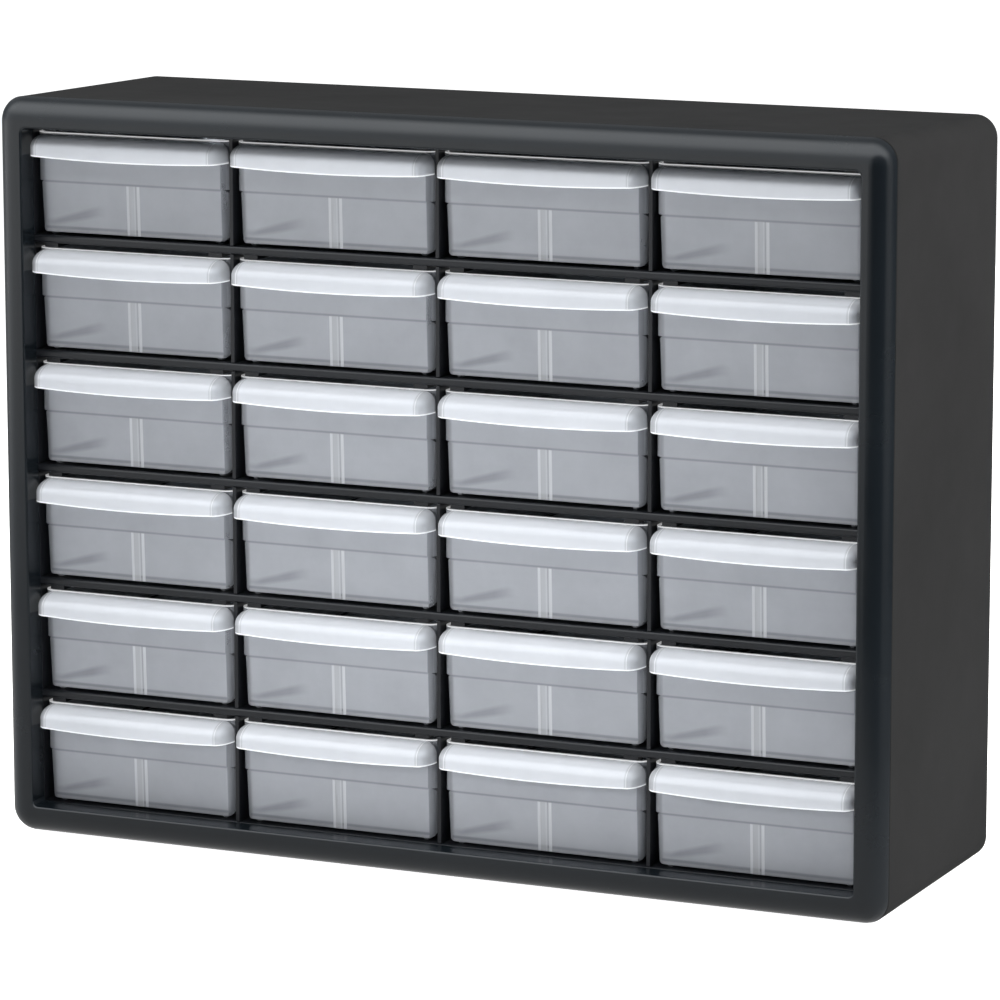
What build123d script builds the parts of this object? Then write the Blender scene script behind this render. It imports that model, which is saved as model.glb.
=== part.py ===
from build123d import *
from math import radians, sqrt, tan
import os

# A 24-drawer bench cabinet for small parts: a moulded case with a snap-in front bezel, an
# egg-crate of slotted panels inside it, and 24 clear drawers that slide out of the front.
#
# Frame: millimetres, +Z up, the drawers face -Y, and the origin is the centre of the footprint.

# ---- overall size and the drawer grid ----
WIDTH = 508.0
HEIGHT = 402.2
DEPTH = 161.9
COLUMNS = 4
ROWS = 6
COLUMN_PITCH = 119.6
ROW_PITCH = 62.4
GRID_CENTRE_Z = 200.5

FRONT_Y = -DEPTH / 2
BACK_Y = DEPTH / 2
MID_Z = HEIGHT / 2

# ---- front bezel: a bullnose picture frame ----
BEZEL_ROUND = 12.6  # radius of the rounded outer front edge
BEZEL_SIDE = 9.2  # how far the bezel's outer side reaches behind the front plane
BEZEL_CORNER = 13.8  # corner radius seen from the front
BEZEL_WALL = 2.6
FRONT_WALL = 4.2  # behind the rounded front
OPENING_WIDTH = 476.0
OPENING_HEIGHT = 370.6
OPENING_CORNER = 3.0
OPENING_EASE = 1.2  # small round on the inner front edge
REVEAL = 13.3  # depth of the opening's own wall
LIP_REACH = 7.0  # how far the snap lip enters the case
LIP_THICK = 2.2
LIP_END_GAP = 1.0  # between the lip and the ribs inside the case

# ---- case ----
CASE_WALL = 2.5
CASE_INSET = 0.2  # case edge inside the bezel edge, at the seam
CASE_CORNER = 12.5
CASE_BACK_CORNER = 12.0
FOOT_CUT = 0.3
SEAM_GAP = 1.3  # dark groove between the bezel and the case
CASE_EDGE_ROUND = 0.7  # small round on the case's front edge
DRAFT_SIDE = 0.2  # how far each wall closes in towards the back
DRAFT_TOP = 3.6
RIB_THICK = 2.0
KEYHOLE_SPACING = 406.4
KEYHOLE_DROP = 38.0  # below the top of the case
KEYHOLE_HEAD = 9.5
KEYHOLE_SLOT = 4.8
KEYHOLE_RISE = 11.0

# ---- slotted panels of the egg-crate ----
NOSE_SETBACK = 13.7  # panel fronts behind the bezel front
NOSE_TALL = 4.2
NOSE_DEEP = 3.6
NOSE_ROUND = 1.1
SHEET = 2.2  # shelf sheet, flush with the top of the nose
UPRIGHT = 2.1  # divider thickness
SLOT_PLAY = 0.5
PANEL_OVERHANG = 3.6  # shelf ends beyond the outermost uprights
UPRIGHT_OVERHANG = 4.5  # upright ends beyond the outermost shelves
UPRIGHT_SETBACK = 0.4  # upright fronts behind the shelf noses
PANEL_BACK_GAP = 0.5
SIDE_GAP = 0.4  # clearance between neighbouring mouldings

# ---- drawer ----
FACE_SETBACK = 15.2  # drawer face behind the bezel front
DRAWER_WIDTH = 116.2
DRAWER_DEPTH = 140.8
DRAWER_HEIGHT = 55.4
DRAWER_WALL = 1.6
DRAWER_CORNER = 6.3
RUNNER_TALL = 1.6
RUNNER_WIDE = 2.0
RUNNER_X = 49.6
RUNNER_SETBACK = 3.0  # runner fronts behind the drawer face
RIDE_GAP = 0.15  # runners above the shelf
STEP_Z = 29.2  # height of the step around the drawer, above the shelf
STEP_SIDE = 1.0
STEP_FRONT = 0.6
DRAFT_ANGLE = 2.2  # of the lower half
DRAWER_FOOT_ROUND = 4.0  # along the bottom of both sides

HOOD_FORWARD = 12.6  # reach of the hooded handle
HOOD_TOP_GAP = 0.6  # below the drawer rim
HOOD_RISE = 7.0  # height of the curved part of the handle
HOOD_LOW = 41.95  # lower edge of the handle at mid width, above the shelf
HOOD_ARCH = 1.7  # how much higher that edge is at its ends
HOOD_WALL = 1.5

DIVIDER_RIB = 2.0  # slot ribs for a lengthwise drawer divider
DIVIDER_SLOT = 3.2
DIVIDER_RIB_DEEP = 3.0
RIB_TOP_GAP = 0.3

# ---- drawer stops ----
STOP_WIDE = 8.0
STOP_LONG = 19.5
STOP_X = 49.3  # from the middle of a compartment
STOP_HANG = 2.2  # below the nose of the shelf
STOP_SETBACK = 1.5  # behind the nose of the shelf
TAB_WIDE = 6.0
TAB_THICK = 3.0
TAB_RISE = 3.3  # above the drawer rim

OVERSHOOT = 1.0  # how far a cutting shape passes the surface it cuts

# ---- worked out from the above ----
NOSE_Y = FRONT_Y + NOSE_SETBACK
STOP_FRONT_Y = NOSE_Y + STOP_SETBACK
PANEL_BACK_Y = BACK_Y - CASE_WALL - PANEL_BACK_GAP
LAP_Y = (NOSE_Y + PANEL_BACK_Y) / 2  # where the two halves of every cross joint meet
SEAM_Y = FRONT_Y + BEZEL_SIDE
CASE_TOP = HEIGHT - CASE_INSET  # the case stands on Z = 0
FACE_Y = FRONT_Y + FACE_SETBACK
DRAWER_MIDDLE_Y = FACE_Y + DRAWER_DEPTH / 2
DRAWER_BACK_Y = FACE_Y + DRAWER_DEPTH
PANEL_HALF = COLUMNS / 2 * COLUMN_PITCH + UPRIGHT / 2 + PANEL_OVERHANG
PANEL_LEVELS = [GRID_CENTRE_Z + (k - ROWS / 2) * ROW_PITCH for k in range(ROWS + 1)]
UPRIGHT_PLACES = [(c - COLUMNS / 2) * COLUMN_PITCH for c in range(COLUMNS + 1)]
COLUMN_CENTRES = [(c - (COLUMNS - 1) / 2) * COLUMN_PITCH for c in range(COLUMNS)]

os.makedirs("parts", exist_ok=True)


def save(piece, name):
    """Label a finished piece and write it as its own node."""
    piece.label = name
    export_step(piece, f"parts/{name}.step")


def front_plane(y):
    """A plane facing the front, so that a sketch on it has X to the right and Y up."""
    return Plane(origin=(0, y, 0), x_dir=(1, 0, 0), z_dir=(0, -1, 0))


# ---- front bezel ----
def make_front_bezel():
    """The frame: bullnose outside, plain opening wall inside, hollow at the rear, snap lip."""
    # the rounded edge would reach its tangent behind the seam, so the outline is drawn larger
    # by what the arc still lacks there
    edge_lack = BEZEL_ROUND - sqrt(BEZEL_ROUND**2 - (BEZEL_ROUND - BEZEL_SIDE) ** 2)
    outline_width = WIDTH + 2 * edge_lack
    outline_height = HEIGHT + 2 * edge_lack
    lip_outer_width = WIDTH - 2 * (CASE_INSET + CASE_WALL + SIDE_GAP)
    lip_outer_height = CASE_TOP - 2 * (CASE_WALL + SIDE_GAP)
    lip_corner = CASE_CORNER - CASE_WALL - SIDE_GAP
    lip_end_y = SEAM_Y + SEAM_GAP + LIP_REACH
    hollow_y = FRONT_Y + FRONT_WALL
    with BuildPart() as bezel:
        with BuildSketch(front_plane(FRONT_Y + BEZEL_ROUND + OVERSHOOT)):
            with Locations((0, MID_Z)):
                RectangleRounded(outline_width, outline_height, BEZEL_CORNER)
        extrude(amount=BEZEL_ROUND + OVERSHOOT)
        front_face = bezel.faces().sort_by(Axis.Y)[0]
        fillet(front_face.edges(), BEZEL_ROUND)
        split(bisect_by=Plane(origin=(0, SEAM_Y, 0), z_dir=(0, -1, 0)), keep=Keep.TOP)
        # the opening's own wall reaches back to the panel fronts
        with BuildSketch(front_plane(FRONT_Y + REVEAL)):
            with Locations((0, GRID_CENTRE_Z)):
                RectangleRounded(
                    OPENING_WIDTH + 2 * BEZEL_WALL,
                    OPENING_HEIGHT + 2 * BEZEL_WALL,
                    OPENING_CORNER + BEZEL_WALL,
                )
        extrude(amount=REVEAL - BEZEL_SIDE / 2)
        # the snap lip enters the case
        with BuildSketch(front_plane(lip_end_y)):
            with Locations((0, CASE_TOP / 2)):
                RectangleRounded(lip_outer_width, lip_outer_height, lip_corner)
                RectangleRounded(
                    lip_outer_width - 2 * LIP_THICK,
                    lip_outer_height - 2 * LIP_THICK,
                    lip_corner - LIP_THICK,
                    mode=Mode.SUBTRACT,
                )
        extrude(amount=lip_end_y - hollow_y)
        # hollow between the lip and the opening wall
        with BuildSketch(front_plane(lip_end_y)):
            with Locations((0, CASE_TOP / 2)):
                RectangleRounded(
                    lip_outer_width - 2 * LIP_THICK,
                    lip_outer_height - 2 * LIP_THICK,
                    lip_corner - LIP_THICK,
                )
            with Locations((0, GRID_CENTRE_Z)):
                RectangleRounded(
                    OPENING_WIDTH + 2 * BEZEL_WALL,
                    OPENING_HEIGHT + 2 * BEZEL_WALL,
                    OPENING_CORNER + BEZEL_WALL,
                    mode=Mode.SUBTRACT,
                )
        extrude(amount=lip_end_y - hollow_y, mode=Mode.SUBTRACT)
        # the opening itself
        with BuildSketch(front_plane(FRONT_Y)):
            with Locations((0, GRID_CENTRE_Z)):
                RectangleRounded(OPENING_WIDTH, OPENING_HEIGHT, OPENING_CORNER)
        extrude(amount=-REVEAL - OVERSHOOT, mode=Mode.SUBTRACT)
        opening_edges = (
            bezel.edges()
            .filter_by_position(Axis.Y, FRONT_Y - 0.01, FRONT_Y + 0.01)
            .filter_by(lambda e: abs(e.center().X) < OPENING_WIDTH / 2 + 0.1)
            .filter_by(lambda e: abs(e.center().Z - GRID_CENTRE_Z) < OPENING_HEIGHT / 2 + 0.1)
        )
        fillet(opening_edges, OPENING_EASE)
    save(bezel.part, "front_bezel")


# ---- case ----
def make_outer_shell():
    """The case: one moulding with a closed back, drafted walls, and ribs that hold the panels."""
    case_front_y = SEAM_Y + SEAM_GAP
    back_inner_y = BACK_Y - CASE_WALL
    back_top = CASE_TOP - DRAFT_TOP
    front_width = WIDTH - 2 * CASE_INSET
    back_width = front_width - 2 * DRAFT_SIDE
    rib_front_y = case_front_y + LIP_REACH + LIP_END_GAP
    rib_depth = back_inner_y - rib_front_y + CASE_WALL / 2
    rib_gap = SIDE_GAP / 2
    with BuildPart() as case:
        # drawn a little too low, then cut off level, so that it stands on a true flat
        with BuildSketch(front_plane(case_front_y)):
            with Locations((0, (CASE_TOP - FOOT_CUT) / 2)):
                RectangleRounded(front_width, CASE_TOP + FOOT_CUT, CASE_CORNER)
        with BuildSketch(front_plane(BACK_Y)):
            with Locations((0, (back_top - FOOT_CUT) / 2)):
                RectangleRounded(back_width, back_top + FOOT_CUT, CASE_BACK_CORNER)
        loft()
        split(bisect_by=Plane.XY, keep=Keep.TOP)
        fillet(case.faces().sort_by(Axis.Y)[0].edges(), CASE_EDGE_ROUND)
        with BuildSketch(front_plane(case_front_y)):
            with Locations((0, CASE_TOP / 2)):
                RectangleRounded(
                    front_width - 2 * CASE_WALL, CASE_TOP - 2 * CASE_WALL, CASE_CORNER - CASE_WALL
                )
        with BuildSketch(front_plane(back_inner_y)):
            with Locations((0, back_top / 2)):
                RectangleRounded(
                    back_width - 2 * CASE_WALL, back_top - 2 * CASE_WALL, CASE_BACK_CORNER - CASE_WALL
                )
        loft(mode=Mode.SUBTRACT)
        # side ribs, at the middle of every other row, steady the side panels
        side_rib_reach = back_width / 2 - CASE_WALL / 2 - (UPRIGHT_PLACES[-1] + UPRIGHT / 2 + SIDE_GAP)
        with BuildSketch(front_plane(back_inner_y + CASE_WALL / 2)):
            for row in range(0, ROWS, 2):
                rib_z = (PANEL_LEVELS[row] + PANEL_LEVELS[row + 1]) / 2
                for side in (-1, 1):
                    rib_x = side * (back_width / 2 - CASE_WALL / 2 - side_rib_reach / 2)
                    with Locations((rib_x, rib_z)):
                        Rectangle(side_rib_reach, RIB_THICK)
            # floor and roof ribs, under and over the middle of every column
            floor_rib_top = PANEL_LEVELS[0] + NOSE_TALL / 2 - SHEET - rib_gap
            roof_rib_low = PANEL_LEVELS[-1] + NOSE_TALL / 2 + rib_gap
            roof_rib_top = back_top - CASE_WALL / 2
            for column_x in COLUMN_CENTRES:
                with Locations((column_x, (floor_rib_top + CASE_WALL / 2) / 2)):
                    Rectangle(RIB_THICK, floor_rib_top - CASE_WALL / 2)
                with Locations((column_x, (roof_rib_low + roof_rib_top) / 2)):
                    Rectangle(RIB_THICK, roof_rib_top - roof_rib_low)
        extrude(amount=rib_depth)
        # keyhole slots in the back, for hanging on two screws
        with BuildSketch(front_plane(BACK_Y + OVERSHOOT)):
            for side in (-1, 1):
                head_x = side * KEYHOLE_SPACING / 2
                head_z = HEIGHT - KEYHOLE_DROP
                with Locations((head_x, head_z)):
                    Circle(KEYHOLE_HEAD / 2)
                with Locations((head_x, head_z + KEYHOLE_RISE / 2)):
                    SlotCenterToCenter(KEYHOLE_RISE, KEYHOLE_SLOT, rotation=90)
        extrude(amount=CASE_WALL + 2 * OVERSHOOT, mode=Mode.SUBTRACT)
    save(case.part, "outer_shell")


# ---- egg-crate panels ----
def make_shelf(level, name, stops=True):
    """A full-width shelf with a rounded nose, rear slots for the uprights, and drawer stops."""
    sheet_top = level + NOSE_TALL / 2
    with BuildPart() as shelf:
        with BuildSketch(Plane.YZ.offset(-PANEL_HALF)) as profile:
            with Locations((NOSE_Y, sheet_top)):
                Rectangle(NOSE_DEEP, NOSE_TALL, align=(Align.MIN, Align.MAX))
                Rectangle(PANEL_BACK_Y - NOSE_Y, SHEET, align=(Align.MIN, Align.MAX))
            fillet(profile.vertices().group_by(Axis.X)[0], NOSE_ROUND)
        extrude(amount=2 * PANEL_HALF)
        with BuildSketch(Plane.XY.offset(sheet_top - SHEET - OVERSHOOT)):
            for x in UPRIGHT_PLACES:
                with Locations((x, LAP_Y - SLOT_PLAY / 2)):
                    Rectangle(
                        UPRIGHT + SLOT_PLAY,
                        PANEL_BACK_Y - LAP_Y + 2 * OVERSHOOT,
                        align=(Align.CENTER, Align.MIN),
                    )
        extrude(amount=SHEET + 2 * OVERSHOOT, mode=Mode.SUBTRACT)
        if stops:
            stop_low = level - NOSE_TALL / 2 - STOP_HANG
            with BuildSketch(Plane.XY.offset(stop_low)):
                for column_x in COLUMN_CENTRES:
                    for side in (-1, 1):
                        with Locations((column_x + side * STOP_X, STOP_FRONT_Y)):
                            Rectangle(STOP_WIDE, STOP_LONG, align=(Align.CENTER, Align.MIN))
            extrude(amount=sheet_top - SHEET / 2 - stop_low)
    save(shelf.part, name)


def make_upright(x, name):
    """An upright panel with front slots, half as deep as the panel, for every shelf."""
    foot_z = PANEL_LEVELS[0] - UPRIGHT_OVERHANG
    head_z = PANEL_LEVELS[-1] + UPRIGHT_OVERHANG
    front_y = NOSE_Y + UPRIGHT_SETBACK
    with BuildPart() as upright:
        with BuildSketch(Plane.YZ.offset(x - UPRIGHT / 2)):
            with Locations((front_y, foot_z)):
                Rectangle(PANEL_BACK_Y - front_y, head_z - foot_z, align=Align.MIN)
            for level in PANEL_LEVELS:
                sheet_middle = level + NOSE_TALL / 2 - SHEET / 2
                with Locations((NOSE_Y, level)):
                    Rectangle(
                        NOSE_DEEP + SLOT_PLAY,
                        NOSE_TALL + SLOT_PLAY,
                        align=(Align.MIN, Align.CENTER),
                        mode=Mode.SUBTRACT,
                    )
                with Locations((NOSE_Y, sheet_middle)):
                    Rectangle(
                        LAP_Y + SLOT_PLAY / 2 - NOSE_Y,
                        SHEET + SLOT_PLAY,
                        align=(Align.MIN, Align.CENTER),
                        mode=Mode.SUBTRACT,
                    )
        extrude(amount=UPRIGHT)
    save(upright.part, name)


# ---- drawer ----
def hood_solid(inset, low_z):
    """The handle's outside (or, with an inset, its inside): a curved bar with rounded ends."""
    reach = HOOD_FORWARD - inset
    end_reach = DRAWER_CORNER - inset
    rise = HOOD_RISE - inset
    arc_z = DRAWER_HEIGHT - HOOD_TOP_GAP - HOOD_RISE
    half_flat = DRAWER_WIDTH / 2 - DRAWER_CORNER
    with BuildPart() as turned:
        with BuildSketch(Plane.YZ) as profile:
            with BuildLine():
                Polyline((0, arc_z + rise), (0, low_z), (-reach, low_z), (-reach, arc_z))
                EllipticalCenterArc((0, arc_z), reach, rise, start_angle=90, arc_size=90)
            make_face()
        revolve(axis=Axis.Z)
    # a turned end would be as wide as the handle is deep, so it is flattened to the drawer's corner
    end = scale(turned.part, by=(end_reach / reach, 1, 1))
    with BuildPart() as hood:
        extrude(profile.sketch, amount=half_flat, both=True)
        add([Pos(side * half_flat, 0, 0) * end for side in (-1, 1)])
    return Pos(0, FACE_Y, 0) * hood.part


def make_handle():
    """The hooded handle as a full bar, cut along its arched lower edge."""
    half_width = DRAWER_WIDTH / 2
    end_z = HOOD_LOW + HOOD_ARCH
    with BuildPart() as handle:
        add(hood_solid(0, HOOD_LOW - HOOD_ARCH))
        with BuildSketch(front_plane(FACE_Y + HOOD_FORWARD)):
            with BuildLine():
                ThreePointArc((-half_width, end_z), (0, HOOD_LOW), (half_width, end_z))
                Polyline(
                    (half_width, end_z),
                    (half_width, DRAWER_HEIGHT),
                    (-half_width, DRAWER_HEIGHT),
                    (-half_width, end_z),
                )
            make_face()
        extrude(amount=3 * HOOD_FORWARD, mode=Mode.INTERSECT)
    return handle.part


def tapered_block(width, depth, corner, low_z, foot_round):
    """A block below the step, tapered all round and rounded along the bottom of its sides."""
    tall = STEP_Z - low_z
    low_width = width - 2 * tall * tan(radians(DRAFT_ANGLE))
    with BuildPart() as block:
        with BuildSketch(Plane.XY.offset(STEP_Z)):
            with Locations((0, DRAWER_MIDDLE_Y)):
                RectangleRounded(width, depth, corner)
        extrude(amount=-tall, taper=DRAFT_ANGLE)
        with BuildSketch(front_plane(DRAWER_MIDDLE_Y + depth)) as section:
            with BuildLine():
                Polyline(
                    (-width / 2, STEP_Z),
                    (-low_width / 2, low_z),
                    (low_width / 2, low_z),
                    (width / 2, STEP_Z),
                    close=True,
                )
            make_face()
            fillet(section.vertices().group_by(Axis.Z)[0], foot_round)
        extrude(amount=2 * depth, mode=Mode.INTERSECT)
    return block.part


def make_drawer():
    """One clear drawer on its compartment's floor, with X = 0 at the middle of its width."""
    tray_low = RIDE_GAP + RUNNER_TALL
    floor_top = tray_low + DRAWER_WALL
    lower_width = DRAWER_WIDTH - 2 * STEP_SIDE
    lower_depth = DRAWER_DEPTH - 2 * STEP_FRONT
    lower_corner = DRAWER_CORNER - STEP_FRONT
    inner_corner = DRAWER_CORNER - DRAWER_WALL
    with BuildPart() as tray:
        with BuildSketch(Plane.XY.offset(STEP_Z)):
            with Locations((0, DRAWER_MIDDLE_Y)):
                RectangleRounded(DRAWER_WIDTH, DRAWER_DEPTH, DRAWER_CORNER)
        extrude(amount=DRAWER_HEIGHT - STEP_Z)
        add(tapered_block(lower_width, lower_depth, lower_corner, tray_low, DRAWER_FOOT_ROUND))
    with BuildPart() as finger_room:
        add(hood_solid(HOOD_WALL, HOOD_LOW - 2 * HOOD_ARCH))
        add(tray.part, mode=Mode.SUBTRACT)
    with BuildPart() as drawer:
        add(tray.part)
        add(make_handle())
        add(finger_room.part, mode=Mode.SUBTRACT)
        # inside of the tray: the step shows inside as well, a little higher
        with BuildSketch(Plane.XY.offset(STEP_Z + DRAWER_WALL / 2)):
            with Locations((0, DRAWER_MIDDLE_Y)):
                RectangleRounded(
                    DRAWER_WIDTH - 2 * DRAWER_WALL, DRAWER_DEPTH - 2 * DRAWER_WALL, inner_corner
                )
        extrude(amount=DRAWER_HEIGHT, mode=Mode.SUBTRACT)
        with BuildSketch(Plane.XY.offset(STEP_Z)):
            with Locations((0, DRAWER_MIDDLE_Y)):
                RectangleRounded(
                    lower_width - 2 * DRAWER_WALL, lower_depth - 2 * DRAWER_WALL, inner_corner
                )
        extrude(amount=DRAWER_WALL, mode=Mode.SUBTRACT)
        add(
            tapered_block(
                lower_width - 2 * DRAWER_WALL,
                lower_depth - 2 * DRAWER_WALL,
                inner_corner,
                floor_top,
                DRAWER_FOOT_ROUND - DRAWER_WALL,
            ),
            mode=Mode.SUBTRACT,
        )
        # slot ribs for a lengthwise divider, on the front and back walls
        rib_low = tray_low + DRAWER_WALL / 2
        with BuildSketch(Plane.XY.offset(rib_low)):
            for side in (-1, 1):
                rib_x = side * (DIVIDER_SLOT + DIVIDER_RIB) / 2
                with Locations((rib_x, FACE_Y + STEP_FRONT + DRAWER_WALL)):
                    Rectangle(DIVIDER_RIB, DIVIDER_RIB_DEEP, align=(Align.CENTER, Align.MIN))
                with Locations((rib_x, DRAWER_BACK_Y - STEP_FRONT - DRAWER_WALL)):
                    Rectangle(DIVIDER_RIB, DIVIDER_RIB_DEEP, align=(Align.CENTER, Align.MAX))
        extrude(amount=STEP_Z - RIB_TOP_GAP - rib_low)
        # runners underneath, sloped at both ends
        runner_front = FACE_Y + RUNNER_SETBACK
        runner_back = DRAWER_BACK_Y - RUNNER_SETBACK
        with BuildSketch(*[Plane.YZ.offset(x - RUNNER_WIDE / 2) for x in (-RUNNER_X, RUNNER_X)]):
            with BuildLine():
                Polyline(
                    (runner_front, rib_low),
                    (runner_front, tray_low),
                    (runner_front + RUNNER_TALL, RIDE_GAP),
                    (runner_back - RUNNER_TALL, RIDE_GAP),
                    (runner_back, tray_low),
                    (runner_back, rib_low),
                    close=True,
                )
            make_face()
        extrude(amount=RUNNER_WIDE)
        # stop tabs on the back wall
        with BuildSketch(Plane.XY.offset(DRAWER_HEIGHT - TAB_THICK)):
            for side in (-1, 1):
                with Locations((side * STOP_X, DRAWER_BACK_Y)):
                    Rectangle(TAB_WIDE, TAB_THICK, align=(Align.CENTER, Align.MAX))
        extrude(amount=TAB_THICK + TAB_RISE)
    return drawer.part


def make_all_drawers():
    """Write the 24 identical drawers, row 1 at the top and column 1 at the left."""
    drawer = make_drawer()
    for row in range(ROWS):
        floor_z = PANEL_LEVELS[ROWS - 1 - row] + NOSE_TALL / 2
        for column, column_x in enumerate(COLUMN_CENTRES):
            save(Pos(column_x, 0, floor_z) * drawer, f"drawer_r{row + 1}_c{column + 1}")


make_front_bezel()
make_outer_shell()
make_shelf(PANEL_LEVELS[0], "floor_panel", stops=False)
for number, level in enumerate(PANEL_LEVELS[1:-1], start=1):
    make_shelf(level, f"shelf_{number}")
make_shelf(PANEL_LEVELS[-1], "top_panel")
for x, name in zip(
    UPRIGHT_PLACES,
    ("side_panel_left", "divider_left", "divider_centre", "divider_right", "side_panel_right"),
):
    make_upright(x, name)
make_all_drawers()
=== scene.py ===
import bpy
import math
from collections import namedtuple
from mathutils import Matrix, Vector


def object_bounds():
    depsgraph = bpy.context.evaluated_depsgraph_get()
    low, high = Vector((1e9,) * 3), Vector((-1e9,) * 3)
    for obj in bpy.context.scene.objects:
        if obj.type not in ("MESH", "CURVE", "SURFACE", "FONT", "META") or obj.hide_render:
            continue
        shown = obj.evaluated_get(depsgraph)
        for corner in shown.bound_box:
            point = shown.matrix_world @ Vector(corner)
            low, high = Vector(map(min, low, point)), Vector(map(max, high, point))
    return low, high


# Looks for the 24-drawer cabinet. Everything is in metres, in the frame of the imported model:
# +Z up, the drawers face -Y, and the origin is the centre of the footprint.

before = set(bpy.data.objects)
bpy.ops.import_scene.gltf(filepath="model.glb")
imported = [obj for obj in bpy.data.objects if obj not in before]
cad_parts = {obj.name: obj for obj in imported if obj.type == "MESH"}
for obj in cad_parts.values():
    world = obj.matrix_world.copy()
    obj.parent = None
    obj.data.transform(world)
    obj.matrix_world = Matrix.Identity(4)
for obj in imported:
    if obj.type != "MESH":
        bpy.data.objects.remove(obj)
cad_low, cad_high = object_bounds()

SHELL = "outer_shell"
BEZEL = "front_bezel"
DRAWERS = sorted(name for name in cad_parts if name.startswith("drawer_"))
PANELS = sorted(set(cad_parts) - set(DRAWERS) - {SHELL, BEZEL})
MIDDLE = (0, 0, (cad_high.z - cad_low.z) / 2)

# ---- the drawer grid, in metres: used to find the same spot on every drawer ----
COLUMN_PITCH = 0.1196
ROW_PITCH = 0.0624
FIRST_FLOOR_Z = 0.0154
FACE_Y = -0.06575
HALF_DRAWER = 0.0581
RIM = 0.0554  # top of a drawer above its shelf
STEP = 0.0292  # the height where the front wall steps in
TRAY_FLOOR = 0.0034
HANDLE_LOW = 0.04195  # the handle's lower edge, at the middle of the drawer
HANDLE_ARCH = 0.0017  # how much higher that edge is at the ends

# ---- where painted highlights and painted shade sit on every drawer, in metres from its middle, its shelf or its front wall ----
WALL_MIDDLE = 0.0008
WALL_HALF = 0.0012
RIM_BAND = 0.0006
LIP_BAND = 0.0005
LEFT_TIP = -0.0560
END_SEAM = 0.0519
HANDLE_END = 0.0505
RIBS_BELOW_STEP = 0.0010
RIB_LINES = (  # across the drawer, half width, brightness of the painted highlight
    (0.0033, 0.0008, 0.80),
    (-0.0030, 0.0007, 0.78),
    (0.0010, 0.0004, 0.68),
    (-0.0016, 0.0021, 0.61),
)
# where painted shade darkens the wall's corners
RIGHT_CORNER = 0.0526
DEEPEST_CORNER = 0.0542
LEFT_CORNER = -0.0535
# where the painted shadow streak runs
STREAK_START = -0.0480
STREAK_END = -0.0210
STREAK_LOW = 0.0071
STREAK_RISE = 0.0066
STREAK_THIN = 0.0003
STREAK_SWELL = 0.0012

# ---- colours ----
CASE_COLOUR = (0.0138, 0.0138, 0.0138)
BEZEL_COLOUR = (0.005, 0.007, 0.009)
PANEL_COLOUR = (0.008, 0.009, 0.011)
WALL_HAZE = (0.78, 0.81, 0.875, 1)
# the handle's haze, paler than the wall's as a painted highlight
LIT_HANDLE_HAZE = (0.86, 0.89, 0.94, 1)
FLOW_HAZE = (0.62, 0.66, 0.72, 1)
# the colour of the painted shade on the drawers
SHADE_HAZE = (0.14, 0.16, 0.19, 1)
# the colour of the painted highlights on the drawers
HIGHLIGHT_HAZE = (0.93, 0.96, 1.0, 1)
CLEAR_TINT = (0.93, 0.95, 0.97, 1)
SKY_COLOUR = (0.95, 0.975, 1.0, 1)
PAPER_COLOUR = (0.6, 0.6, 0.6, 1)
BLACK = (0, 0, 0, 1)
WHITE = (1, 1, 1, 1)

# ---- camera ----
CAMERA_AT = (1.13874, -2.50472, 0.6975)
CAMERA_AZIMUTH = 24.35
CAMERA_ELEVATION = 10.47
CAMERA_ROLL = -0.07
LENS = 188.6
SENSOR = 36.0

# ---- light levels ----
WORLD_GLOW = 0.20
BACKDROP_GLOW = 1.1  # as the camera sees it
FLOOR_GLOW = 0.28
FLOOR_SEEN_GLOW = 0.75  # added where the camera sees the floor
SKY_SHINE = 3.2
DARK_AZIMUTH = 32.0
EDGE_GLOW = 0.42
FLOOR_REACH = 14.0
FLOOR_GAP = 0.0003
PANEL_BEVEL = 0.0002


# ---- node helpers ----
def material(name):
    """A new node material; returns it with its tree and its output node."""
    made = bpy.data.materials.new(name)
    made.use_nodes = True
    made.node_tree.nodes.clear()
    return made, made.node_tree, made.node_tree.nodes.new("ShaderNodeOutputMaterial")


def fill_inputs(tree, added, inputs):
    """Set a node's inputs; one given as a socket is linked, and any other value is set."""
    for key, value in inputs.items():
        if isinstance(value, bpy.types.NodeSocket):
            tree.links.new(value, added.inputs[key])
        else:
            added.inputs[key].default_value = value


def node(tree, kind, inputs=None, **settings):
    """Add a node with its settings and inputs."""
    added = tree.nodes.new(kind)
    for key, value in settings.items():
        setattr(added, key, value)
    fill_inputs(tree, added, inputs or {})
    return added


def place(tree):
    """The point being shaded, in metres, fixed to its own piece."""
    return node(tree, "ShaderNodeTexCoord").outputs["Object"]


def noise(tree, scale, detail=2.0, rough=0.5, at=None):
    inputs = {"Vector": at or place(tree), "Scale": scale, "Detail": detail, "Roughness": rough}
    return node(tree, "ShaderNodeTexNoise", inputs).outputs["Fac"]


def stretched(tree, x, y, z):
    """The shaded point with its own scale on each axis, for marks that run one way."""
    inputs = {"Vector": place(tree), "Scale": (x, y, z)}
    return node(tree, "ShaderNodeMapping", inputs).outputs["Vector"]


def spread(tree, value, low, high, to_low, to_high):
    """Map value from low..high to to_low..to_high, clamped."""
    inputs = {"Value": value, "From Min": low, "From Max": high, "To Min": to_low, "To Max": to_high}
    return node(tree, "ShaderNodeMapRange", inputs).outputs["Result"]


def maths(tree, operation, a, b=0.0):
    return node(tree, "ShaderNodeMath", {0: a, 1: b}, operation=operation).outputs[0]


def scaled(tree, value, factor):
    return maths(tree, "MULTIPLY", value, factor)


def size_of(tree, value):
    """The value without its sign."""
    return node(tree, "ShaderNodeMath", {0: value}, operation="ABSOLUTE").outputs[0]


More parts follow.
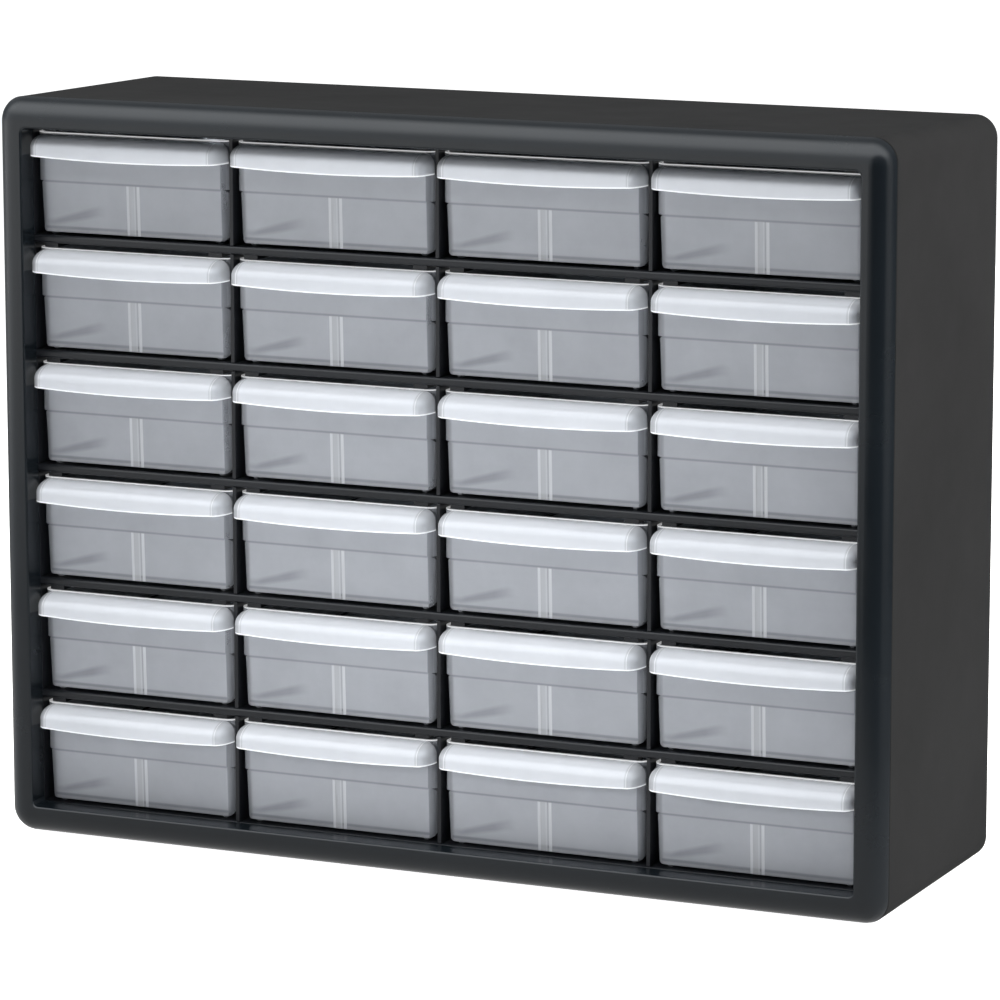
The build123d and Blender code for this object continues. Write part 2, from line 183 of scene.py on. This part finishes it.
def blend_colour(tree, factor, a, b):
    """Mix two colours."""
    mixed = node(tree, "ShaderNodeMix", data_type="RGBA")
    fill_inputs(tree, mixed, {0: factor, 6: a, 7: b})
    return mixed.outputs[2]


def blend_number(tree, factor, a, b):
    """Mix two numbers."""
    return node(tree, "ShaderNodeMix", {0: factor, 2: a, 3: b}).outputs[0]


def blend_shader(tree, factor, a, b):
    """Mix two shader nodes."""
    return node(tree, "ShaderNodeMixShader", {0: factor, 1: a.outputs[0], 2: b.outputs[0]})


def add_shader(tree, a, b):
    """Add two shader nodes."""
    return node(tree, "ShaderNodeAddShader", {0: a.outputs[0], 1: b.outputs[0]})


def bump(tree, height, distance, **onto):
    """A bumped normal; an earlier bump's normal can be given as Normal."""
    inputs = {"Height": height, "Distance": distance, "Strength": 1.0, **onto}
    return node(tree, "ShaderNodeBump", inputs).outputs["Normal"]


def dot(tree, a, b):
    return node(tree, "ShaderNodeVectorMath", {0: a, 1: b}, operation="DOT_PRODUCT").outputs["Value"]


def edge_mask(tree, radius, low=0.02, high=0.35):
    """1 on sharp edges and 0 on flat faces, within radius of the edge."""
    soft = node(tree, "ShaderNodeBevel", {"Radius": radius}, samples=4).outputs["Normal"]
    hard = node(tree, "ShaderNodeNewGeometry").outputs["True Normal"]
    return spread(tree, maths(tree, "SUBTRACT", 1.0, dot(tree, soft, hard)), low, high, 0.0, 1.0)


def near(tree, value, centre, half_width, soft):
    """1 where value is within half_width of centre, fading out over soft."""
    off = size_of(tree, maths(tree, "SUBTRACT", value, centre))
    return below(tree, off, half_width, soft)


def above(tree, value, edge, soft):
    """0 below edge and 1 from edge + soft upwards."""
    return spread(tree, value, edge, edge + soft, 0.0, 1.0)


def below(tree, value, edge, soft):
    """1 below edge and 0 from edge + soft upwards."""
    return spread(tree, value, edge, edge + soft, 1.0, 0.0)


def both(tree, *masks):
    product = masks[0]
    for mask in masks[1:]:
        product = maths(tree, "MULTIPLY", product, mask)
    return product


def either(tree, *masks):
    largest = masks[0]
    for mask in masks[1:]:
        largest = maths(tree, "MAXIMUM", largest, mask)
    return largest


# ---- materials ----
def moulded(name, colour, roughness, shine, grain_scale, grain_depth, wave_depth, edge_highlight):
    """Black injection-moulded plastic: fine grain, slow waviness, and edges made slightly paler by a
    painted highlight.
    """
    made, tree, out = material(name)
    dark = (*[c * 0.88 for c in colour], 1)
    light = (*[c * 1.14 for c in colour], 1)
    pale = (*[c * 1.6 for c in colour], 1)
    highlight_tint = (*[c * 2.2 + 0.01 for c in colour], 1)
    tone = spread(tree, noise(tree, 7.0, 4.0, 0.6), 0.3, 0.7, 0.0, 1.0)
    speck = spread(tree, noise(tree, 2200.0, 1.0), 0.35, 0.65, 0.0, 1.0)
    tint = blend_colour(tree, tone, dark, light)
    tint = blend_colour(tree, scaled(tree, speck, 0.12), tint, pale)
    # a painted highlight: the edges are tinted paler
    tint = blend_colour(tree, scaled(tree, edge_mask(tree, 0.0007), edge_highlight), tint, highlight_tint)
    gloss = noise(tree, 26.0, 5.0, 0.6)
    gloss = spread(tree, gloss, 0.25, 0.75, roughness - 0.05, roughness + 0.07)
    wave = bump(tree, noise(tree, 11.0, 1.0), wave_depth)
    surface = {
        "Base Color": tint,
        "Roughness": gloss,
        "IOR": 1.5,
        "Specular IOR Level": shine,
        "Normal": bump(tree, noise(tree, grain_scale, 2.0), grain_depth, Normal=wave),
    }
    skin = node(tree, "ShaderNodeBsdfPrincipled", surface)
    tree.links.new(skin.outputs["BSDF"], out.inputs["Surface"])
    return made


# a shaded point of a drawer: its place on that drawer, and masks for the handle and the front wall
DrawerSpot = namedtuple("DrawerSpot", "across outwards height depth handle front_wall")


def drawer_spot(tree):
    """The place on the drawer: sideways from its middle, up from its shelf, back from its front."""
    at = node(tree, "ShaderNodeSeparateXYZ", {"Vector": place(tree)})
    across = maths(tree, "FLOORED_MODULO", at.outputs["X"], COLUMN_PITCH)
    across = maths(tree, "SUBTRACT", across, COLUMN_PITCH / 2)
    height = maths(tree, "SUBTRACT", at.outputs["Z"], FIRST_FLOOR_Z)
    height = maths(tree, "FLOORED_MODULO", height, ROW_PITCH)
    depth = maths(tree, "SUBTRACT", at.outputs["Y"], FACE_Y)
    return DrawerSpot(
        across=across,
        outwards=size_of(tree, across),
        height=height,
        depth=depth,
        handle=below(tree, depth, -0.0004, 0.0004),
        front_wall=near(tree, depth, WALL_MIDDLE, WALL_HALF, 0.0002),
    )


def rim_highlight_mask(tree, spot):
    """The top edges of the walls, behind the handle, where a highlight and a glow are painted."""
    behind_handle = above(tree, spot.depth, -0.0010, 0.0004)
    return both(tree, above(tree, spot.height, RIM - RIM_BAND, 0.0002), behind_handle)


def handle_highlight_mask(tree, spot):
    """The handle's arched lower edge and its left tip, where highlights are painted."""
    arch = maths(tree, "POWER", maths(tree, "DIVIDE", spot.outwards, HALF_DRAWER), 2.0)
    arch = maths(tree, "ADD", HANDLE_LOW, scaled(tree, arch, HANDLE_ARCH))
    over_arch = maths(tree, "SUBTRACT", spot.height, arch)
    lower_lip = below(tree, over_arch, LIP_BAND, 0.0005)
    left_tip = below(tree, spot.across, LEFT_TIP, 0.0015)
    return both(tree, spot.handle, either(tree, lower_lip, left_tip))


def rib_highlight_mask(tree, spot):
    """Painted highlights: the divider ribs, as bright upright lines on the front wall where they show
    through.
    """
    lines = [
        scaled(tree, near(tree, spot.across, centre, half_width, 0.0003), brightness)
        for centre, half_width, brightness in RIB_LINES
    ]
    under_step = below(tree, spot.height, STEP - RIBS_BELOW_STEP, 0.0005)
    return both(tree, either(tree, *lines), spot.front_wall, under_step)


def shadow_streak_mask(tree, spot):
    """A painted shadow: a soft slanting dark streak low on the left of the front wall."""
    along = spread(tree, spot.across, STREAK_START, STREAK_END, 0.0, 1.0)
    middle = maths(tree, "ADD", scaled(tree, along, STREAK_RISE), STREAK_LOW)
    half_width = maths(tree, "ADD", scaled(tree, along, STREAK_SWELL), STREAK_THIN)
    off = size_of(tree, maths(tree, "SUBTRACT", spot.height, middle))
    return both(
        tree,
        spot.front_wall,
        below(tree, maths(tree, "SUBTRACT", off, half_width), 0.0, 0.0022),
        near(tree, spot.across, -0.0370, 0.0080, 0.0130),
    )


def clear_plastic(name):
    """Clear polystyrene: see-through with a milky haze, a smooth shine, and a painted glow on its edges.

    Painted highlights and glow on the rims, ribs and handle edges stand in for the light that moulded
    parts gather there; painted shade darkens the wall where it turns a corner, along the step and the
    floor's edge, and in a slanting streak. Those spots are found from the position on the drawer.
    """
    made, tree, out = material(name)
    spot = drawer_spot(tree)

    # painted highlights: the rims, the handle's lower edge and left tip, the ribs seen through the wall,
    # and the handle's end seam
    rim_highlight = rim_highlight_mask(tree, spot)
    handle_highlight = handle_highlight_mask(tree, spot)
    # a painted highlight line where the handle's end begins
    end_seam_highlight = both(tree, spot.handle, near(tree, spot.outwards, END_SEAM, 0.0002, 0.0003))
    painted_highlight = either(tree, rim_highlight, handle_highlight, rib_highlight_mask(tree, spot), scaled(tree, end_seam_highlight, 0.85))

    # painted shade: where the wall turns a corner, at the handle's ends, along the step and the floor's
    # edge, and a painted shadow streak
    handle_end_shade = both(tree, spot.handle, above(tree, spot.outwards, HANDLE_END, 0.0012))
    wall = maths(tree, "SUBTRACT", 1.0, spot.handle)
    right_corner_shade = both(tree, wall, above(tree, spot.across, RIGHT_CORNER, 0.0004))
    deepest_corner_shade = both(tree, wall, near(tree, spot.across, DEEPEST_CORNER, 0.0012, 0.0006))
    left_corner_shade = both(tree, wall, near(tree, spot.across, LEFT_CORNER, 0.0006, 0.0008))
    step_shade = near(tree, spot.height, STEP - 0.0002, 0.0003, 0.0006)
    floor_edge_shade = near(tree, spot.height, TRAY_FLOOR + 0.0008, 0.0004, 0.0008)
    shade = either(
        tree,
        scaled(tree, both(tree, spot.front_wall, step_shade), 0.38),
        scaled(tree, both(tree, spot.front_wall, floor_edge_shade), 0.45),
        scaled(tree, shadow_streak_mask(tree, spot), 0.36),
        scaled(tree, right_corner_shade, 0.30),
        scaled(tree, deepest_corner_shade, 0.48),
        scaled(tree, left_corner_shade, 0.20),
        scaled(tree, handle_end_shade, 0.12),
    )

    # how milky the plastic is, and the colour of that haze; the handle is milkier and its haze paler as a
    # painted highlight, and the handle's ends and the right corner are less milky as painted shade
    milk = spread(tree, noise(tree, 34.0, 5.0, 0.6), 0.25, 0.75, 0.47, 0.55)
    milk = maths(tree, "ADD", milk, scaled(tree, spot.handle, 0.27))
    milk = maths(tree, "SUBTRACT", milk, scaled(tree, handle_end_shade, 0.17))
    milk = maths(tree, "SUBTRACT", milk, scaled(tree, right_corner_shade, 0.10))
    milk = either(tree, milk, scaled(tree, painted_highlight, 0.9))
    flow = noise(tree, 1.0, 3.0, 0.6, at=stretched(tree, 9.0, 60.0, 160.0))
    flow = spread(tree, flow, 0.3, 0.7, 0.0, 0.10)
    cloud = blend_colour(tree, spot.handle, WALL_HAZE, LIT_HANDLE_HAZE)
    cloud = blend_colour(tree, flow, cloud, FLOW_HAZE)
    cloud = blend_colour(tree, shade, cloud, SHADE_HAZE)
    cloud = blend_colour(tree, painted_highlight, cloud, HIGHLIGHT_HAZE)
    haze_front = node(tree, "ShaderNodeBsdfDiffuse", {"Color": cloud})
    haze_back = node(tree, "ShaderNodeBsdfTranslucent", {"Color": cloud})
    haze = blend_shader(tree, 0.35, haze_front, haze_back)
    clear = node(tree, "ShaderNodeBsdfTransparent", {"Color": CLEAR_TINT})
    body = blend_shader(tree, milk, clear, haze)

    # a painted glow on the rims and the handle's edges, standing in for light gathered inside the wall
    # that leaves at its edges
    painted_edge_glow = either(tree, rim_highlight, scaled(tree, handle_highlight, 0.6))
    painted_edge_glow = node(tree, "ShaderNodeEmission", {"Strength": scaled(tree, painted_edge_glow, EDGE_GLOW)})
    body = add_shader(tree, body, painted_edge_glow)

    # the outer shine
    wave = bump(tree, noise(tree, 18.0, 1.0), 0.0002)
    gloss = spread(tree, noise(tree, 70.0, 4.0, 0.6), 0.3, 0.7, 0.10, 0.20)
    mirror = node(tree, "ShaderNodeBsdfGlossy", {"Roughness": gloss, "Normal": wave})
    turned = node(tree, "ShaderNodeFresnel", {"IOR": 1.42, "Normal": wave})
    body = blend_shader(tree, turned.outputs[0], body, mirror)
    tree.links.new(body.outputs[0], out.inputs["Surface"])
    return made


def in_dark_patch(tree, direction):
    """1 for directions towards the unlit part of the studio, beside the photographer."""
    azimuth = math.radians(DARK_AZIMUTH)
    facing = dot(tree, direction, (math.sin(azimuth), -math.cos(azimuth), 0))
    return above(tree, facing, 0.76, 0.10)


def floor_shine(tree, spot):
    """The floor's brightness in shiny surfaces: pale rings, dimmer behind and to the right."""
    away = node(tree, "ShaderNodeVectorMath", {0: spot}, operation="LENGTH").outputs["Value"]
    direction = node(tree, "ShaderNodeVectorMath", {0: spot}, operation="NORMALIZE").outputs[0]
    parts = node(tree, "ShaderNodeSeparateXYZ", {"Vector": spot})
    dark = both(tree, in_dark_patch(tree, direction), spread(tree, away, 0.45, 0.70, 0.0, 0.97))
    near_ring = spread(tree, away, 0.6, 1.1, 0.70, 0.52)
    far_ring = spread(tree, away, 1.2, 2.2, 0.55, 1.45)
    return both(
        tree,
        either(tree, near_ring, far_ring),
        maths(tree, "SUBTRACT", 1.0, dark),
        spread(tree, parts.outputs["Y"], 0.0, 0.5, 1.0, 0.25),
        spread(tree, parts.outputs["X"], 0.3, 0.8, 1.0, 0.4),
    )


def floor_material():
    """Plain white studio floor, with its own brightness as seen in shiny surfaces."""
    made, tree, out = material("studio_floor")
    rays = node(tree, "ShaderNodeLightPath")
    shiny = rays.outputs["Is Glossy Ray"]
    tone = spread(tree, noise(tree, 3.0, 2.0), 0.3, 0.7, 0.97, 1.0)
    seen = scaled(tree, rays.outputs["Is Camera Ray"], FLOOR_SEEN_GLOW)
    level = maths(tree, "ADD", scaled(tree, tone, FLOOR_GLOW), seen)
    level = blend_number(tree, shiny, level, floor_shine(tree, place(tree)))
    matte = node(tree, "ShaderNodeBsdfDiffuse", {"Color": blend_colour(tree, shiny, PAPER_COLOUR, BLACK)})
    glow = node(tree, "ShaderNodeEmission", {"Color": WHITE, "Strength": level})
    tree.links.new(add_shader(tree, matte, glow).outputs[0], out.inputs["Surface"])
    return made


# ---- pieces ----
def finish_node(name, surface, bevel=0):
    """Give a CAD node its material and, with a bevel width, softly rounded edges."""
    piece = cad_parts[name]
    piece.data.materials.clear()
    piece.data.materials.append(surface)
    if bevel:
        weld = piece.modifiers.new("weld", "WELD")
        weld.merge_threshold = 0.00001
        rounded = piece.modifiers.new("rounded", "BEVEL")
        rounded.width = bevel
        rounded.segments = 2
        rounded.limit_method = "ANGLE"
        rounded.angle_limit = math.radians(40)
        rounded.use_clamp_overlap = True


# ---- studio ----
def build_floor():
    mesh = bpy.data.meshes.new("floor")
    corners = [(FLOOR_REACH * x, FLOOR_REACH * y, 0) for x, y in ((-1, -1), (1, -1), (1, 1), (-1, 1))]
    mesh.from_pydata(corners, [], [(0, 1, 2, 3)])
    floor = bpy.data.objects.new("floor", mesh)
    floor.location.z = cad_low.z - FLOOR_GAP
    mesh.materials.append(floor_material())
    bpy.context.scene.collection.objects.link(floor)


def softbox(name, at, aim, width, height, watts, beam=180):
    """A rectangular lamp that is never seen itself, with its beam narrowed to an angle."""
    lamp = bpy.data.lights.new(name, "AREA")
    lamp.shape = "RECTANGLE"
    lamp.size = width
    lamp.size_y = height
    lamp.energy = watts
    lamp.spread = math.radians(beam)
    box = bpy.data.objects.new(name, lamp)
    box.location = at
    box.rotation_euler = (Vector(aim) - Vector(at)).to_track_quat("-Z", "Y").to_euler()
    box.visible_camera = False
    box.visible_glossy = False
    bpy.context.scene.collection.objects.link(box)


def build_world():
    """White for the camera, soft fill light, and its own pattern of softboxes for reflections."""
    world = bpy.data.worlds.new("studio")
    bpy.context.scene.world = world
    world.use_nodes = True
    tree = world.node_tree
    direction = node(tree, "ShaderNodeTexCoord").outputs["Generated"]
    parts = node(tree, "ShaderNodeSeparateXYZ", {"Vector": direction})
    mirrored = both(
        tree,
        spread(tree, parts.outputs["Z"], 0.25, 0.6, 1.3, SKY_SHINE),
        spread(tree, parts.outputs["Y"], -0.25, 0.15, 1.0, 0.15),
        spread(tree, in_dark_patch(tree, direction), 0.0, 1.0, 1.0, 0.1),
    )
    rays = node(tree, "ShaderNodeLightPath")
    strength = blend_number(tree, rays.outputs["Is Glossy Ray"], WORLD_GLOW, mirrored)
    strength = blend_number(tree, rays.outputs["Is Camera Ray"], strength, BACKDROP_GLOW)
    fill_inputs(tree, tree.nodes["Background"], {"Strength": strength, "Color": SKY_COLOUR})


def build_lamps():
    softbox("overhead", (-0.15, -0.58, 2.4), MIDDLE, 1.4, 0.18, 50)
    softbox("high_front", (0.1, -2.2, 2.2), MIDDLE, 1.0, 0.6, 10)
    softbox("near_front", (0.0, -0.42, 0.18), (0.0, 0, 0.18), 0.20, 0.12, 0.68)
    softbox("right", (2.2, 0.15, 0.5), MIDDLE, 1.0, 1.0, 13, beam=70)
    softbox("left", (-2.2, 0.15, 0.4), MIDDLE, 1.0, 1.0, 24, beam=70)
    softbox("back", (0.2, 2.2, 0.4), MIDDLE, 1.4, 1.0, 40, beam=80)


def build_camera():
    azimuth = math.radians(CAMERA_AZIMUTH)
    elevation = math.radians(CAMERA_ELEVATION)
    back = Vector((
        math.sin(azimuth) * math.cos(elevation),
        -math.cos(azimuth) * math.cos(elevation),
        math.sin(elevation),
    ))
    lens = bpy.data.cameras.new("camera")
    lens.lens = LENS
    lens.sensor_width = SENSOR
    lens.clip_end = 60
    camera = bpy.data.objects.new("camera", lens)
    roll = Matrix.Rotation(math.radians(CAMERA_ROLL), 3, "Z")
    turn = (-back).to_track_quat("-Z", "Y").to_matrix() @ roll
    camera.matrix_world = Matrix.Translation(CAMERA_AT) @ turn.to_4x4()
    bpy.context.scene.collection.objects.link(camera)
    bpy.context.scene.camera = camera


def set_light_paths():
    cycles = bpy.context.scene.cycles
    cycles.use_denoising = True
    cycles.max_bounces = 6
    cycles.transmission_bounces = 4
    cycles.transparent_max_bounces = 24
    cycles.glossy_bounces = 3
    cycles.diffuse_bounces = 4
    cycles.caustics_reflective = False
    cycles.caustics_refractive = False


case_black = moulded("case_black", CASE_COLOUR, 0.74, 0.04, 1500.0, 0.00004, 0.0001, 0.10)
bezel_black = moulded("bezel_black", BEZEL_COLOUR, 0.23, 0.42, 1200.0, 0.00001, 0.0003, 0.20)
panel_black = moulded("panel_black", PANEL_COLOUR, 0.36, 0.40, 1200.0, 0.00001, 0.0002, 0.20)
drawer_clear = clear_plastic("drawer_clear")

finish_node(SHELL, case_black)
finish_node(BEZEL, bezel_black)
for name in PANELS:
    finish_node(name, panel_black, PANEL_BEVEL)
for name in DRAWERS:
    finish_node(name, drawer_clear)

build_floor()
build_world()
build_lamps()
build_camera()
set_light_paths()
bpy.context.scene.view_settings.view_transform = "Standard"
